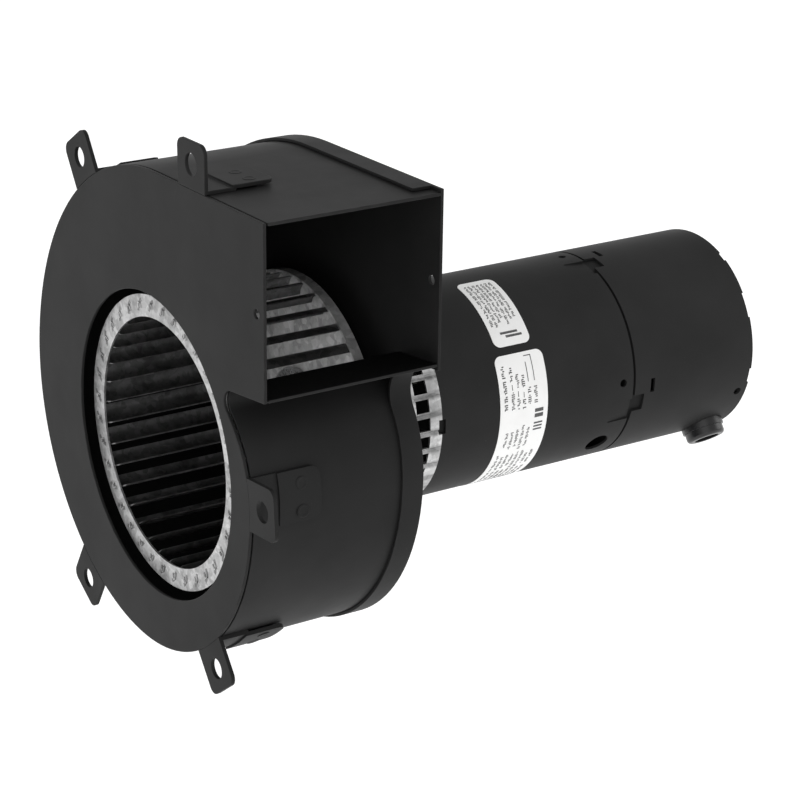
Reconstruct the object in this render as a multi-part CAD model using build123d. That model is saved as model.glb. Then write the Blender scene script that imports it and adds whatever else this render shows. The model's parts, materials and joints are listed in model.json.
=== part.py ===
"""Combustion fan: a sheet-metal scroll housing, a forward-curved wheel and a cylindrical motor.

Frame: origin on the fan's axis at the front plate's outer face. +X points out of the outlet,
+Y runs from the inlet towards the motor, +Z is up. Lengths are millimetres and angles degrees.
Angles round the axis are measured from +X towards +Z.
"""
from build123d import *
import os
from math import atan2, cos, degrees, hypot, radians, sin, sqrt, tan

# ---------------------------------------------------------------------------
# Driving sizes
# ---------------------------------------------------------------------------
# Housing
SHEET = 1.2                 # housing sheet
HOUSING_DEPTH = 72.0        # front plate's outer face to rear pan's outer face
OUTLET_NECK = 10.7          # the scroll's right side to the outlet plane
FLOOR_DROP = 12.4           # underside of the outlet's floor, at the outlet plane, below the wheel's top
FLOOR_SLOPE = 7.0           # the outlet's floor falls inwards by this angle
GAP_RIGHT = 15.9            # wheel to the scroll's outer face, beside the outlet
GAP_BOTTOM = 25.8           # the same, below the wheel
GAP_LEFT = 39.7             # the same, away from the outlet
GAP_TOP = 50.35             # the same, above the wheel
TOP_SLOPE = 1.0             # the flat top rises towards the outlet by this angle
UPPER_FROM = 172.0          # angle where the left arc hands over to the upper one
LOWER_REACH = 24.7          # the scroll's lower right arc is this much larger than the wheel
TONGUE_DROP = 13.1          # the arc that climbs to the cutoff is this much smaller than the wheel
CUTOFF_RADIUS = 5.0         # bend where the outlet's floor turns into the scroll
INLET_GAP = 2.6             # wheel rim to inlet edge
OUTLET_SCREW_HOLE = 3.5     # diameter of the pilot holes beside the outlet
OUTLET_SCREW_INSET = 5.0    # pilot holes to the outlet plane
OUTLET_SCREW_DROP = 33.0    # pilot holes below the outlet's top
PAN_FLANGE = 9.0            # how far the rear pan's flange laps the scroll
PAN_GAP = 0.15              # flange to scroll
PAN_CORNER = 13.0           # the flange's bend past the cutoff
PAN_RELIEF = 6.0            # the flange stops this far short of the outlet plane
PAN_SHAFT_HOLE = 9.0        # radius of the hole round the shaft

# Mounting brackets
BRACKET_SHEET = 1.5
BRACKET_WIDTH = 19.5
BRACKET_HEIGHT = 17.3
BRACKET_DEPTH = 28.0
BRACKET_HOLE = 8.0          # diameter
BRACKET_HOLE_HEIGHT = 9.0   # hole above the scroll
BRACKET_CORNER = 3.6
BRACKET_STEP = 0.8          # the welded end stands this far off the scroll, on two pads
BRACKET_STEP_AT = 11.0      # distance of the step behind the front face
BRACKET_PAD = 5.0           # diameter of each welded pad
BRACKET_TOP_X = 33.5        # the top bracket's place along the flat top
BRACKET_ANGLES = {"bracket_right": 5.0, "bracket_bottom": -52.0,
                  "bracket_lower_left": -120.8, "bracket_upper_left": 122.9}

# Wheel
WHEEL_RADIUS = 56.4
WHEEL_FRONT_GAP = 3.1       # front plate to wheel
WHEEL_REAR_GAP = 6.0        # wheel to rear pan
BLADES = 36
BLADE_SHEET = 0.5
BLADE_RISE = 6.6            # radial height of a blade
BLADE_SWEEP = 6.1           # how far a blade's tip runs ahead of its root
BLADE_CURVE = 6.0           # radius of the blade's curve
BLADE_INSET = 1.6           # wheel rim to blade tip
BLADE_ROUND = 3.0           # rounding of a blade's front corner, at its root
RING_WIDTH = 8.5            # inlet ring, from rim to inner edge
RING_SHEET = 0.8
RING_LIP = 4.0              # the ring's rim is turned back this far
TAB_SHARE = 0.5             # width of a blade's crimped tab over the blade's own
TAB_CRIMP = 0.5             # height of the crimped tab
TAB_SPREAD = 0.5            # how far the crimp spreads past its slot
TAB_CLEARANCE = 0.1
BACK_SHEET = 1.0
HUB_RADIUS = 11.0
HUB_LENGTH = 18.0
HUB_FLANGE_RADIUS = 18.0
HUB_FLANGE = 2.0
HUB_RIVETS = 4
HUB_RIVET_RADIUS = 1.6
HUB_RIVET_CIRCLE = 14.5
HUB_RIVET_HEAD = 1.12       # height of a rivet's head
SET_SCREW_RADIUS = 2.4
SET_SCREW_RECESS = 0.5      # screw below the hub's surface
SET_SCREW_SOCKET = 1.32     # corner radius of its six-sided socket
SET_SCREW_SOCKET_DEPTH = 2.4

# Shaft and bearings
SHAFT_RADIUS = 3.97         # five-sixteenths of an inch across
SHAFT_NOSE = 2.0            # shaft past the hub's front
SHAFT_FLAT = 0.7            # depth of the flat under the set screw
SHAFT_END = 1.0             # shaft's rear end inside the rear bearing's
SHAFT_CHAMFER = 0.5
RUNNING_GAP = 0.03          # shaft to bearing
BEARING_RADIUS = 7.0
BEARING_LENGTH = 14.0
BEARING_RECESS = 0.5        # bearing to the outer face of its bracket
THRUST_GAP = 0.4
COLLAR_RADIUS = 6.5
COLLAR_LENGTH = 2.0

# Motor
MOTOR_RADIUS = 42.0
SHELL_WALL = 1.0
SHELL_FIT = 0.05            # what sits in the shell is this much smaller
VENT_LENGTH = 29.5
SHELL_LENGTH = 91.5
COVER_LENGTH = 61.75
PARTING_GAP = 0.6           # shell to rear cover
VENT_FLANGE = 12.0          # width of the vent ring's inward flange
WINDOWS = 36
WINDOW_LENGTH = 5.9
WINDOW_ANGLE = 6.9
WINDOW_AT = 4.0             # angle of the first window
VENT_BAND = 5.4             # plain band behind the windows
JOINT_NOTCH_ANGLE = 8.0
JOINT_NOTCH_LENGTH = 3.0
JOINT_NOTCH_AT = 1.0        # angle of the first of four notches
BRACKET_PLATE = 3.0         # end brackets
END_RIM = 1.8
END_RIM_LENGTH = 7.0
END_INSET = 0.5             # front end bracket's rim ahead of the shell, past its plate
BOSS_WALL = 1.5
FELT_RADIUS = 11.0
FELT_LENGTH = 6.5
RETAINER = 1.0
AIR_HOLES = 4
AIR_HOLE = 6.0              # radius of the end brackets' air holes
AIR_HOLE_CIRCLE = 22.0
BOLTS = 4
BOLT_RADIUS = 2.0
BOLT_INSET = 6.2            # bolt circle inside the shell's bore
BOLT_CLEARANCE = 0.15
BOLT_ANGLE = 30.0
BOLT_HEAD = 3.0
NUT_HEIGHT = 3.2
NUT_FLATS = 7.0
BOLT_PAST_NUT = 0.8
STACK_LENGTH = 45.0
STACK_SETBACK = 16.5        # shell's front edge to the stator's stack
AIR_GAP = 0.35
ROTOR_RADIUS = 23.0
SLOTS = 24
SLOT_WALL = 0.5             # slot to bolt hole
SLOT_WIDTH = 3.5
SLOT_MOUTH = 1.8
TOOTH_TIP = 1.6
MOUTH_LAP = 0.5             # how far a slot's mouth runs past the tooth tip, each way
WIRE_CLEARANCE = 0.2
END_TURN = 12.0
END_TURN_FILLET = 2.5
COIL_LAP = 0.5              # wire in a slot runs this far into the end turns, past their fillet
ROTOR_BARS = 24
BAR_RADIUS = 1.4
BAR_INSET = 2.4
CAGE_RING = 5.0
CAGE_RING_WIDTH = 10.0
CAGE_INSET = 0.5            # cage ring inside the rotor's rim
PROTECTOR = (11.0, 4.5, 7.0)
PROTECTOR_CORNER = 1.5

# Cooling fan in the vent ring
FAN_CLEARANCE = 1.5         # fan to through bolts
FAN_SETBACK = 3.0           # pan to fan
FAN_DISC = 1.2
FAN_LENGTH = 18.0
FAN_HUB = 8.0
FAN_BLADES = 8
FAN_BLADE = 1.2
FAN_ROOT = 0.5              # blade sunk in the fan's hub

# Shell and cover details, repeated four times round
TAB_ANGLE = 75.0            # first tab
TAB_WIDTH = 13.0
TAB_LENGTH = 10.0
TAB_DEPTH = 1.0
TAB_MARGIN = 1.0            # pressed wall past the tab's recess
TAB_CLEARANCE_AT_BRACKET = 0.2
SHELL_HOLE_OFFSET = 17.0
SHELL_HOLE_SETBACK = 5.0
SHELL_HOLE_RADIUS = 1.6
COVER_NOTCH_OFFSET = 3.0
COVER_NOTCH_WIDTH = 10.0
COVER_NOTCH_LENGTH = 5.5
COVER_SLOT_OFFSET = 12.0
COVER_SLOT_WIDTH = 8.0
COVER_SLOT_SETBACK = 9.0
COVER_SLOT_LENGTH = 2.0
PORT_RADIUS = 5.0           # round hole in the shell
PORT_ANGLE = -38.5
PORT_SETBACK = 10.2

# End cap, wire bushing, capacitor, labels
CAP_SHEET = 1.25
CAP_SPIGOT = 2.0
CAP_NOTCH = 0.8
CAP_NOTCHES = ((-16.0, -7.0), (23.0, 37.0), (59.0, 65.0))
CAP_HOLE_RADIUS = 1.75
CAP_HOLE_ANGLE = -21.0
CAP_HOLE_SETBACK = 3.4
BUSHING_ANGLE = -53.0
BUSHING_SETBACK = 10.6
BUSHING_HOLE = 6.6
BUSHING_FLANGE = 8.8
BUSHING_NOSE = 8.1
BUSHING_BORE = 5.2
BUSHING_STEP = 2.0
BUSHING_HEIGHT = 6.0
BUSHING_SNAP = 0.7
BUSHING_TAIL = 2.5          # barb's end inside the cover's bore
BUSHING_BARB = 1.6          # length of the barb
BUSHING_LIP = 1.5           # rounding of the nose
CAPACITOR_RADIUS = 17.0
CAPACITOR_LENGTH = 46.0
CAPACITOR_FILLET = 1.5
CLIP_SHEET = 1.0
CLIP_LENGTH = 15.0
CLIP_SLOT = 5.0             # width of the slots between the clip's fingers
CLIP_BAND = 2.0             # the slots stop this far from the clip's base
TERMINAL = (6.3, 0.8, 7.0)
TERMINAL_PITCH = 12.0
TERMINAL_ROOT = 0.5         # how far a terminal is sunk in the can
LABEL_SKIN = 0.15
LABEL_CORNER = 3.0
UPPER_LABEL = {"setback": 29.0, "length": 17.0, "from": 35.5, "to": 82.0}
LOWER_LABEL = {"setback": 26.8, "length": 22.5, "from": -75.0, "to": 31.0}

# ---------------------------------------------------------------------------
# Places worked out from the sizes above
# ---------------------------------------------------------------------------
OUTLET_REACH = WHEEL_RADIUS + GAP_RIGHT + OUTLET_NECK
OUTLET_FLOOR = WHEEL_RADIUS - FLOOR_DROP
LOWER_ARC = WHEEL_RADIUS + LOWER_REACH
TONGUE_ARC = WHEEL_RADIUS - TONGUE_DROP
PAN_FRONT = HOUSING_DEPTH - SHEET
RING_FRONT = SHEET + WHEEL_FRONT_GAP
WHEEL_REAR = PAN_FRONT - WHEEL_REAR_GAP
BACK_FRONT = WHEEL_REAR - BACK_SHEET
HUB_FRONT = BACK_FRONT - HUB_LENGTH

SHELL_FRONT = HOUSING_DEPTH + VENT_LENGTH
SHELL_REAR = SHELL_FRONT + SHELL_LENGTH
COVER_FRONT = SHELL_REAR + PARTING_GAP
COVER_END = SHELL_REAR + COVER_LENGTH
CAP_FRONT = COVER_END - CAP_SHEET
SHELL_BORE = MOTOR_RADIUS - SHELL_WALL
SEAT_RADIUS = SHELL_BORE - SHELL_FIT
BOLT_CIRCLE = SHELL_BORE - BOLT_INSET

FRONT_PLATE_IN = SHELL_FRONT - END_INSET
FRONT_PLATE_OUT = FRONT_PLATE_IN - BRACKET_PLATE
REAR_PLATE_OUT = SHELL_REAR - END_INSET
REAR_PLATE_IN = REAR_PLATE_OUT - BRACKET_PLATE
BOSS_RADIUS = FELT_RADIUS + BOSS_WALL
BOSS_LENGTH = FELT_LENGTH + 2 * RETAINER
FRONT_BEARING = FRONT_PLATE_OUT + BEARING_RECESS
REAR_BEARING = REAR_PLATE_OUT - BEARING_RECESS
STACK_FRONT = SHELL_FRONT + STACK_SETBACK
STACK_REAR = STACK_FRONT + STACK_LENGTH
STATOR_BORE = ROTOR_RADIUS + AIR_GAP
SLOT_START = STATOR_BORE + TOOTH_TIP
SLOT_END = BOLT_CIRCLE - BOLT_RADIUS - BOLT_CLEARANCE - SLOT_WALL

QUARTERS = (0.0, 90.0, 180.0, 270.0)
PAST = 1.0                  # a cutting shape runs this far past what it cuts
BACKWARDS = (0, 1, 0)       # the way everything is stacked, from the inlet to the motor


# ---------------------------------------------------------------------------
# Helpers
# ---------------------------------------------------------------------------
def slab(sketch, y_from, y_to):
    """Stand a flat shape, drawn in X and Z, between two distances along the axis."""
    plane = Plane(origin=(0, y_from, 0), x_dir=(1, 0, 0), z_dir=(0, -1, 0))
    return extrude(plane * sketch, amount=y_to - y_from, dir=BACKWARDS)


def disc(radius, y_from, y_to):
    return slab(Circle(radius), y_from, y_to)


def ring(inner, outer, y_from, y_to):
    return slab(Circle(outer) - Circle(inner), y_from, y_to)


def sector(inner, outer, angle_from, angle_to):
    """Flat piece of a ring between two angles."""
    sweep = angle_to - angle_from
    outside = CenterArc((0, 0), outer, angle_from, sweep)
    inside = CenterArc((0, 0), inner, angle_from, sweep)
    return make_face([outside, Line(outside @ 1, inside @ 1), inside, Line(inside @ 0, outside @ 0)])


def turned(angle, shape):
    """Turn a shape built along +X to an angle round the axis."""
    return Rot(0, -angle, 0) * shape


def radial_rod(radius, reach_from, reach_to, y):
    """Round rod along +X at a distance along the axis, for holes and pins that point outwards."""
    middle = (reach_from + reach_to) / 2
    return Pos(middle, y, 0) * Rot(0, 90, 0) * Cylinder(radius, reach_to - reach_from)


def around(count, shape, first=0.0):
    """Copies of a shape evenly round the axis."""
    return [turned(first + 360.0 * i / count, shape) for i in range(count)]


def on_circle(count, radius, circle, y_from, y_to, first=0.0):
    """Rods along the axis, evenly spaced on a circle."""
    places = [radians(first + 360.0 * i / count) for i in range(count)]
    rods = [Pos(circle * cos(a), circle * sin(a)) * Circle(radius) for a in places]
    return [slab(rod, y_from, y_to) for rod in rods]


def group(shapes):
    """Separate solids that share a node."""
    return Compound(children=[s.solid() for s in shapes])


# ---------------------------------------------------------------------------
# Housing
# ---------------------------------------------------------------------------
def scroll_arcs():
    """Centre and radius of the four arcs, clockwise from the cutoff, on the scroll's outer face."""
    right = WHEEL_RADIUS + GAP_RIGHT
    bottom = WHEEL_RADIUS + GAP_BOTTOM
    left = WHEEL_RADIUS + GAP_LEFT
    top = WHEEL_RADIUS + GAP_TOP
    centre_x = right - LOWER_ARC
    centre_z = LOWER_ARC - bottom
    left_arc = left + centre_x
    left_z = centre_z + left_arc - LOWER_ARC
    join = radians(UPPER_FROM)
    larger = (top - left_z - left_arc) / (1 - sin(join))
    return {"tongue": (right - TONGUE_ARC, centre_z, TONGUE_ARC),
            "lower": (centre_x, centre_z, LOWER_ARC),
            "left": (centre_x, left_z, left_arc),
            "upper": (centre_x - larger * cos(join), left_z - larger * sin(join), left_arc + larger)}


ARCS = scroll_arcs()


def top_start(grow=0.0):
    """Where the upper arc, moved outwards by grow, turns into the flat top."""
    arc_x, arc_z, arc_radius = ARCS["upper"]
    turn = radians(90 + TOP_SLOPE)
    return arc_x + (arc_radius + grow) * cos(turn), arc_z + (arc_radius + grow) * sin(turn)


def top_height(x, grow=0.0):
    """Height of the flat top, moved outwards by grow, at a distance towards the outlet."""
    start_x, start_z = top_start(grow)
    return start_z + (x - start_x) * tan(radians(TOP_SLOPE))


def corner_centre(corner):
    """Centre of the bend, outside the scroll, that joins the outlet's floor to the tongue arc."""
    arc_x, arc_z, arc_radius = ARCS["tongue"]
    slope = radians(FLOOR_SLOPE)
    start_x = OUTLET_REACH + corner * sin(slope) - arc_x
    start_z = OUTLET_FLOOR - corner * cos(slope) - arc_z
    along = start_x * cos(slope) + start_z * sin(slope)
    apart = hypot(start_x, start_z) ** 2 - (arc_radius + corner) ** 2
    back = along - sqrt(along ** 2 - apart)
    return arc_x + start_x - back * cos(slope), arc_z + start_z - back * sin(slope)


def scroll_outline(grow, corner, outlet):
    """The housing's side view, moved outwards by grow and cut off at the outlet's distance."""
    slope = radians(FLOOR_SLOPE)
    bend_x, bend_z = corner_centre(corner)
    tongue_x, tongue_z, tongue_radius = ARCS["tongue"]
    meet = degrees(atan2(bend_z - tongue_z, bend_x - tongue_x))
    floor = OUTLET_FLOOR - grow / cos(slope) + (outlet - OUTLET_REACH) * tan(slope)
    top = top_height(outlet, grow)
    bend = CenterArc((bend_x, bend_z), corner - grow, 90 + FLOOR_SLOPE, meet + 90 - FLOOR_SLOPE)
    tongue = CenterArc((tongue_x, tongue_z), tongue_radius + grow, meet, -meet)
    spiral = []
    turns = (("lower", 0.0, -90.0), ("left", -90.0, UPPER_FROM - 360),
             ("upper", UPPER_FROM - 360, TOP_SLOPE - 270))
    for name, start, end in turns:
        arc_x, arc_z, arc_radius = ARCS[name]
        spiral.append(CenterArc((arc_x, arc_z), arc_radius + grow, start, end - start))
    edges = [Line((outlet, floor), bend @ 0), bend, tongue, *spiral,
             Line(top_start(grow), (outlet, top)), Line((outlet, top), (outlet, floor))]
    return make_face(edges)


def pilot_hole(y_from, y_to):
    place = Pos(OUTLET_REACH - OUTLET_SCREW_INSET, top_height(OUTLET_REACH) - OUTLET_SCREW_DROP)
    return slab(place * Circle(OUTLET_SCREW_HOLE / 2), y_from, y_to)


def front_plate():
    outline = scroll_outline(0, CUTOFF_RADIUS, OUTLET_REACH)
    plate = slab(outline - Circle(WHEEL_RADIUS + INLET_GAP), 0, SHEET)
    return plate - pilot_hole(0, SHEET)


def scroll_wrap():
    outside = scroll_outline(0, CUTOFF_RADIUS, OUTLET_REACH)
    inside = scroll_outline(-SHEET, CUTOFF_RADIUS, OUTLET_REACH + SHEET)
    return slab(outside - inside, SHEET, PAN_FRONT)


def bolt_holes(y_from, y_to):
    return on_circle(BOLTS, BOLT_RADIUS + BOLT_CLEARANCE, BOLT_CIRCLE, y_from, y_to, BOLT_ANGLE)


def rear_pan():
    outside = scroll_outline(PAN_GAP + SHEET, PAN_CORNER, OUTLET_REACH)
    inside = scroll_outline(PAN_GAP, PAN_CORNER, OUTLET_REACH + SHEET)
    plate = slab(outside, PAN_FRONT, HOUSING_DEPTH)
    flange = slab(outside - inside, HOUSING_DEPTH - PAN_FLANGE, PAN_FRONT)
    tall = 4 * top_height(OUTLET_REACH)
    relief = Box(2 * PAN_RELIEF, 2 * PAN_FLANGE, tall)
    relief = Pos(OUTLET_REACH, PAN_FRONT - PAN_FLANGE, 0) * relief
    pan = plate + (flange - relief)
    pan -= disc(PAN_SHAFT_HOLE, PAN_FRONT, HOUSING_DEPTH)
    return pan - bolt_holes(PAN_FRONT, HOUSING_DEPTH) - pilot_hole(PAN_FRONT, HOUSING_DEPTH)


def arc_at(angle):
    """Name of the scroll's arc that holds this angle, seen from the arc's own centre."""
    if angle >= 90:
        return "upper"
    if angle >= 0:
        return "tongue"
    return "lower" if angle >= -90 else "left"


def on_scroll(angle):
    """Place on the scroll's outer face, with its local +Z pointing straight out."""
    arc_x, arc_z, arc_radius = ARCS[arc_at(angle)]
    turn = radians(angle)
    return Pos(arc_x + arc_radius * cos(turn), 0, arc_z + arc_radius * sin(turn)) * Rot(0, 90 - angle, 0)


def on_top(x):
    """Place on the flat top, with its local +Z pointing straight out."""
    return Pos(x, 0, top_height(x)) * Rot(0, -TOP_SLOPE, 0)


def scroll_skin(lift, thickness, y_from, y_to):
    """Sheet that follows the scroll all round, lifted off it."""
    outside = scroll_outline(lift + thickness, CUTOFF_RADIUS, OUTLET_REACH)
    inside = scroll_outline(lift, CUTOFF_RADIUS, OUTLET_REACH)
    return slab(outside - inside, y_from, y_to)


def bracket(place):
    """L bracket: a leg in the plane of the front plate, and a foot welded along the scroll."""
    root = 3 * BRACKET_SHEET
    leg = Pos(0, (BRACKET_HEIGHT - root) / 2) * Rectangle(BRACKET_WIDTH, BRACKET_HEIGHT + root)
    leg = fillet(leg.vertices().group_by(Axis.Y)[-1], BRACKET_CORNER)
    leg -= Pos(0, BRACKET_HOLE_HEIGHT) * Circle(BRACKET_HOLE / 2)
    leg = place * slab(leg, 0, BRACKET_SHEET)
    leg -= slab(scroll_outline(0, CUTOFF_RADIUS, OUTLET_REACH), 0, BRACKET_SHEET)

    block = Box(BRACKET_WIDTH, BRACKET_DEPTH, 4 * root)
    block = fillet(block.edges().filter_by(Axis.Z).group_by(Axis.Y)[-1], BRACKET_CORNER)
    block = place * Pos(0, BRACKET_DEPTH / 2, 0) * block
    step = BRACKET_STEP_AT + BRACKET_SHEET
    foot = scroll_skin(0, BRACKET_SHEET, 0, step)
    foot += scroll_skin(BRACKET_STEP, BRACKET_SHEET, BRACKET_STEP_AT, BRACKET_DEPTH)
    pad_y = (step + BRACKET_DEPTH) / 2
    pads = [place * Pos(side * BRACKET_WIDTH / 4, pad_y, 0) * Cylinder(BRACKET_PAD / 2, 4 * root)
            for side in (-1, 1)]
    pads = scroll_skin(0, BRACKET_STEP, BRACKET_STEP_AT, BRACKET_DEPTH) & (pads[0] + pads[1])
    return leg + (foot & block) + pads


# ---------------------------------------------------------------------------
# Wheel
# ---------------------------------------------------------------------------
def blade_arc():
    """Centre of the blade's curve and the angles of its root and tip, for the blade at angle 0."""
    tip_radius = WHEEL_RADIUS - BLADE_INSET
    root_radius = tip_radius - BLADE_RISE
    ahead = -BLADE_SWEEP / tip_radius
    root = Vector(root_radius, 0)
    tip = Vector(tip_radius * cos(ahead), tip_radius * sin(ahead))
    middle = (root + tip) / 2
    chord = tip - root
    reach = sqrt(BLADE_CURVE ** 2 - (chord.length / 2) ** 2)
    inward = Vector(chord.Y, -chord.X) / chord.length
    centre = middle + inward * reach
    root_angle = degrees(atan2(root.Y - centre.Y, root.X - centre.X))
    tip_angle = degrees(atan2(tip.Y - centre.Y, tip.X - centre.X))
    return centre, root_angle, tip_angle


def blade_section(share, spread):
    """Flat shape of a blade: a share of its width, grown all round by spread."""
    centre, root_angle, tip_angle = blade_arc()
    middle = (root_angle + tip_angle) / 2
    half = abs(root_angle - tip_angle) / 2 * share + degrees(spread / BLADE_CURVE)
    thickness = BLADE_SHEET / 2 + spread
    shape = sector(BLADE_CURVE - thickness, BLADE_CURVE + thickness, middle - half, middle + half)
    return Pos(centre.X, centre.Y) * shape


def ring_slots(y_from, y_to):
    return around(BLADES, slab(blade_section(TAB_SHARE, TAB_CLEARANCE), y_from, y_to))


def blade_corner():
    """What rounds off a blade's front corner at its root, for the blade at angle 0."""
    root = WHEEL_RADIUS - BLADE_INSET - BLADE_RISE
    front = RING_FRONT + RING_SHEET
    block = Box(BLADE_ROUND + PAST, BLADE_ROUND, 2 * BLADE_SWEEP)
    block = Pos(root + (BLADE_ROUND - PAST) / 2, front + BLADE_ROUND / 2, 0) * block
    rod = Pos(root + BLADE_ROUND, front + BLADE_ROUND, 0) * Cylinder(BLADE_ROUND, 4 * BLADE_SWEEP)
    return block - rod


def wheel_blades():
    """Each blade has a tab through a slot at either end, crimped flat beyond it."""
    blade = slab(blade_section(1, 0), RING_FRONT + RING_SHEET, BACK_FRONT)
    blade -= blade_corner()
    blade += slab(blade_section(TAB_SHARE, 0), RING_FRONT, RING_FRONT + RING_SHEET)
    blade += slab(blade_section(TAB_SHARE, 0), BACK_FRONT, WHEEL_REAR)
    for face in (RING_FRONT - TAB_CRIMP, WHEEL_REAR):
        blade += slab(blade_section(TAB_SHARE, TAB_SPREAD), face, face + TAB_CRIMP)
    return group(around(BLADES, blade))


def wheel_inlet_ring():
    flat = ring(WHEEL_RADIUS - RING_WIDTH, WHEEL_RADIUS, RING_FRONT, RING_FRONT + RING_SHEET)
    lip = ring(WHEEL_RADIUS - RING_SHEET, WHEEL_RADIUS, RING_FRONT, RING_FRONT + RING_LIP)
    return flat + lip - ring_slots(RING_FRONT, RING_FRONT + RING_SHEET)


def hub_rivet_rods(radius, y_from, y_to):
    return on_circle(HUB_RIVETS, radius, HUB_RIVET_CIRCLE, y_from, y_to)


def wheel_back_plate():
    plate = ring(SHAFT_RADIUS + BACK_SHEET, WHEEL_RADIUS, BACK_FRONT, WHEEL_REAR)
    lip = ring(WHEEL_RADIUS - BACK_SHEET, WHEEL_RADIUS, WHEEL_REAR - RING_LIP, WHEEL_REAR)
    plate = plate + lip - ring_slots(BACK_FRONT, WHEEL_REAR)
    return plate - hub_rivet_rods(HUB_RIVET_RADIUS, BACK_FRONT, WHEEL_REAR)


def set_screw_rod(reach_from, reach_to):
    """Rod along +Z halfway along the hub, above the shaft's flat."""
    screw_y = HUB_FRONT + (HUB_LENGTH - HUB_FLANGE) / 2
    return turned(90, radial_rod(SET_SCREW_RADIUS, reach_from, reach_to, screw_y))


def wheel_hub():
    hub = disc(HUB_RADIUS, HUB_FRONT, BACK_FRONT)
    hub += disc(HUB_FLANGE_RADIUS, BACK_FRONT - HUB_FLANGE, BACK_FRONT)
    hub -= disc(SHAFT_RADIUS, HUB_FRONT, BACK_FRONT)
    hub -= hub_rivet_rods(HUB_RIVET_RADIUS, BACK_FRONT - HUB_FLANGE, BACK_FRONT)
    return hub - set_screw_rod(0, 2 * HUB_RADIUS)


def hub_rivets():
    shanks = hub_rivet_rods(HUB_RIVET_RADIUS, BACK_FRONT - HUB_FLANGE, WHEEL_REAR)
    head = 2 * HUB_RIVET_RADIUS
    fronts = hub_rivet_rods(head, BACK_FRONT - HUB_FLANGE - HUB_RIVET_HEAD, BACK_FRONT - HUB_FLANGE)
    backs = hub_rivet_rods(head, WHEEL_REAR, WHEEL_REAR + HUB_RIVET_HEAD)
    return group([shank + front + back for shank, front, back in zip(shanks, fronts, backs)])


def set_screw():
    top = HUB_RADIUS - SET_SCREW_RECESS
    screw = set_screw_rod(SHAFT_RADIUS - SHAFT_FLAT, top)
    socket = extrude(RegularPolygon(SET_SCREW_SOCKET, 6), amount=SET_SCREW_SOCKET_DEPTH)
    screw_y = HUB_FRONT + (HUB_LENGTH - HUB_FLANGE) / 2
    return screw - Pos(0, screw_y, top - SET_SCREW_SOCKET_DEPTH) * socket


# ---------------------------------------------------------------------------
# Shaft, rotor and bearings
# ---------------------------------------------------------------------------
def shaft():
    front = HUB_FRONT - SHAFT_NOSE
    rear = REAR_BEARING - SHAFT_END
    rod = disc(SHAFT_RADIUS, front, rear)
    rod = chamfer(rod.edges().filter_by(GeomType.CIRCLE), SHAFT_CHAMFER)
    flat_length = BACK_FRONT - front
    flat = Box(3 * SHAFT_RADIUS, flat_length, SHAFT_RADIUS)
    height = SHAFT_RADIUS - SHAFT_FLAT + SHAFT_RADIUS / 2
    return rod - Pos(0, front + flat_length / 2, height) * flat


def thrust_collars():
    front = FRONT_BEARING + BEARING_LENGTH + THRUST_GAP
    rear = REAR_BEARING - BEARING_LENGTH - THRUST_GAP
    return group([ring(SHAFT_RADIUS, COLLAR_RADIUS, front, front + COLLAR_LENGTH),
                  ring(SHAFT_RADIUS, COLLAR_RADIUS, rear - COLLAR_LENGTH, rear)])


def rotor_bars(y_from, y_to):
    circle = ROTOR_RADIUS - BAR_INSET
    return on_circle(ROTOR_BARS, BAR_RADIUS, circle, y_from, y_to)


def rotor_core():
    core = ring(SHAFT_RADIUS, ROTOR_RADIUS, STACK_FRONT, STACK_REAR)
    return core - rotor_bars(STACK_FRONT, STACK_REAR)


def rotor_cage():
    outer = ROTOR_RADIUS - CAGE_INSET
    inner = outer - CAGE_RING_WIDTH
    cage = ring(inner, outer, STACK_FRONT - CAGE_RING, STACK_FRONT)
    cage += ring(inner, outer, STACK_REAR, STACK_REAR + CAGE_RING)
    return cage + rotor_bars(STACK_FRONT, STACK_REAR)


def cooling_fan():
    front = HOUSING_DEPTH + FAN_SETBACK
    rear = front + FAN_LENGTH
    outer = BOLT_CIRCLE - BOLT_RADIUS - FAN_CLEARANCE
    fan = disc(outer, front, front + FAN_DISC) + disc(FAN_HUB, front, rear)
    blade = Box(outer - FAN_HUB + FAN_ROOT, rear - front, FAN_BLADE)
    blade = Pos((FAN_HUB + outer - FAN_ROOT) / 2, (front + rear) / 2, 0) * blade
    fan += around(FAN_BLADES, blade)
    return fan - disc(SHAFT_RADIUS, front, rear)


def bearing(y_from):
    return ring(SHAFT_RADIUS + RUNNING_GAP, BEARING_RADIUS, y_from, y_from + BEARING_LENGTH)


# ---------------------------------------------------------------------------
# Motor
# ---------------------------------------------------------------------------
def joint_notches():
    half = JOINT_NOTCH_ANGLE / 2
    notch = slab(sector(SHELL_BORE - PAST, MOTOR_RADIUS + PAST, -half, half),
                 SHELL_FRONT - JOINT_NOTCH_LENGTH / 2, SHELL_FRONT + JOINT_NOTCH_LENGTH / 2)
    return around(4, notch, JOINT_NOTCH_AT)


def vent_ring():
    tube = ring(SHELL_BORE, MOTOR_RADIUS, HOUSING_DEPTH, SHELL_FRONT)
    flange_inner = MOTOR_RADIUS - VENT_FLANGE
    tube += ring(flange_inner, MOTOR_RADIUS, HOUSING_DEPTH, HOUSING_DEPTH + SHELL_WALL)
    window_end = SHELL_FRONT - VENT_BAND
    half = WINDOW_ANGLE / 2
    window = slab(sector(SHELL_BORE - PAST, MOTOR_RADIUS + PAST, -half, half),
                  window_end - WINDOW_LENGTH, window_end)
    tube -= around(WINDOWS, window, WINDOW_AT)
    tube -= joint_notches()
    return tube - bolt_holes(HOUSING_DEPTH, HOUSING_DEPTH + SHELL_WALL)


def dimples(y_from, y_to, inner, outer, wider):
    half = TAB_WIDTH / 2 + wider
    return around(4, slab(sector(inner, outer, -half, half), y_from, y_to), TAB_ANGLE)


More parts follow.
